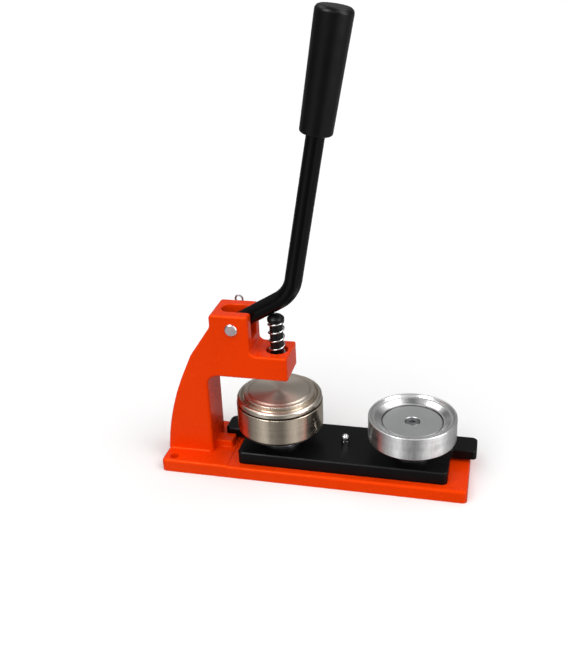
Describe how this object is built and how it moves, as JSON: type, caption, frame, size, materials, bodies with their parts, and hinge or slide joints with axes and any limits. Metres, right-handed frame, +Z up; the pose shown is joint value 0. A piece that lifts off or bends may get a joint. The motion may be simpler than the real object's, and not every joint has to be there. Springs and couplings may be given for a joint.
{
  "type": "button badge press",
  "caption": "Hand-lever bench press for crimping round button badges: cast C-frame on a flat base, sprung plunger, and a swivel plate carrying lower dies and a loose upper die.",
  "frame": {"origin": "middle of the base's underside, on the table", "axes": "+X along the base away from the column, +Y to the back, +Z up; the operator faces +Y"},
  "size_m": [0.29, 0.0802, 0.4125],
  "materials": {
    "orange_coat": "satin orange powder coat",
    "black_coat": "satin black coat",
    "black_enamel": "semi-gloss black enamel",
    "black_steel": "black oxide",
    "grip_rubber": "matte black grip",
    "die_aluminium": "bright turned aluminium",
    "die_stainless": "turned stainless steel",
    "zinc_steel": "bright zinc plate",
    "chrome_nut": "bright chrome",
    "screw_steel": "plain steel",
    "spring_steel": "bright spring wire",
    "black_spring": "black spring wire"
  },
  "bodies": {
    "frame": {"base_plate": "orange_coat", "c_frame": "orange_coat", "frame_screws": "black_steel", "lever_pivot_pin": "zinc_steel", "pivot_washer": "zinc_steel", "hairpin_clip": "spring_steel", "swivel_pivot_bolt": "zinc_steel", "thrust_washer": "zinc_steel", "swivel_dome_nut": "chrome_nut", "return_spring": "spring_steel"},
    "lever": {"lever_rod": "black_enamel", "lever_grip": "grip_rubber"},
    "plunger": {"plunger_shaft": "black_steel", "plunger_cap": "black_steel", "press_foot": "black_steel", "foot_screw": "black_steel"},
    "swivel": {"swivel_plate": "black_coat", "die_a_post": "black_steel", "die_a_core": "die_aluminium", "die_a_screw": "screw_steel", "die_a_spring": "black_spring", "die_b_post": "black_steel", "die_b_core": "die_aluminium", "die_b_screw": "screw_steel", "die_b_spring": "black_spring"},
    "die_a_outer": {"die_a_ring": "die_aluminium"},
    "die_b_outer": {"die_b_ring": "die_aluminium"},
    "upper_die": {"upper_die_punch": "die_stainless", "upper_die_retaining_ring": "spring_steel", "upper_die_springs": "spring_steel"},
    "upper_sleeve": {"upper_die_sleeve": "die_stainless"}
  },
  "joints": [
    {"name": "lever_pull", "type": "hinge", "parent": "frame", "child": "lever", "pos_m": [-0.0703, 0, 0.1436], "axis": [0, 1, 0], "range_deg": [0, 32]},
    {"name": "plunger_stroke", "type": "slide", "parent": "frame", "child": "plunger", "axis": [0, 0, -1], "range_m": [0, 0.02], "stiffness_N_per_m": 1500, "springref_m": -0.015, "deforming": ["return_spring"]},
    {"name": "plate_swivel", "type": "hinge", "parent": "frame", "child": "swivel", "pos_m": [0.0278, 0, 0.0121], "axis": [0, 0, 1], "range_deg": [-180, 0]},
    {"name": "die_a_press", "type": "slide", "parent": "swivel", "child": "die_a_outer", "axis": [0, 0, -1], "range_m": [0, 0.0085], "stiffness_N_per_m": 2500, "springref_m": -0.008, "deforming": ["die_a_spring"]},
    {"name": "die_b_press", "type": "slide", "parent": "swivel", "child": "die_b_outer", "axis": [0, 0, -1], "range_m": [0, 0.0085], "stiffness_N_per_m": 2500, "springref_m": -0.008, "deforming": ["die_b_spring"]},
    {"name": "upper_die_press", "type": "slide", "parent": "swivel", "child": "upper_die", "axis": [0, 0, -1], "range_m": [0, 0.0085]},
    {"name": "sleeve_float", "type": "slide", "parent": "upper_die", "child": "upper_sleeve", "axis": [0, 0, 1], "range_m": [0, 0.0012], "stiffness_N_per_m": 3000, "springref_m": -0.004, "deforming": ["upper_die_springs"]}
  ],
  "couplings": [
    {"joint": "plunger_stroke", "follows": "lever_pull", "m_per_rad": 0.035631},
    {"joint": "upper_die_press", "follows": "lever_pull", "m_per_rad": 0.013608},
    {"joint": "die_a_press", "follows": "lever_pull", "m_per_rad": 0.013608}
  ]
}
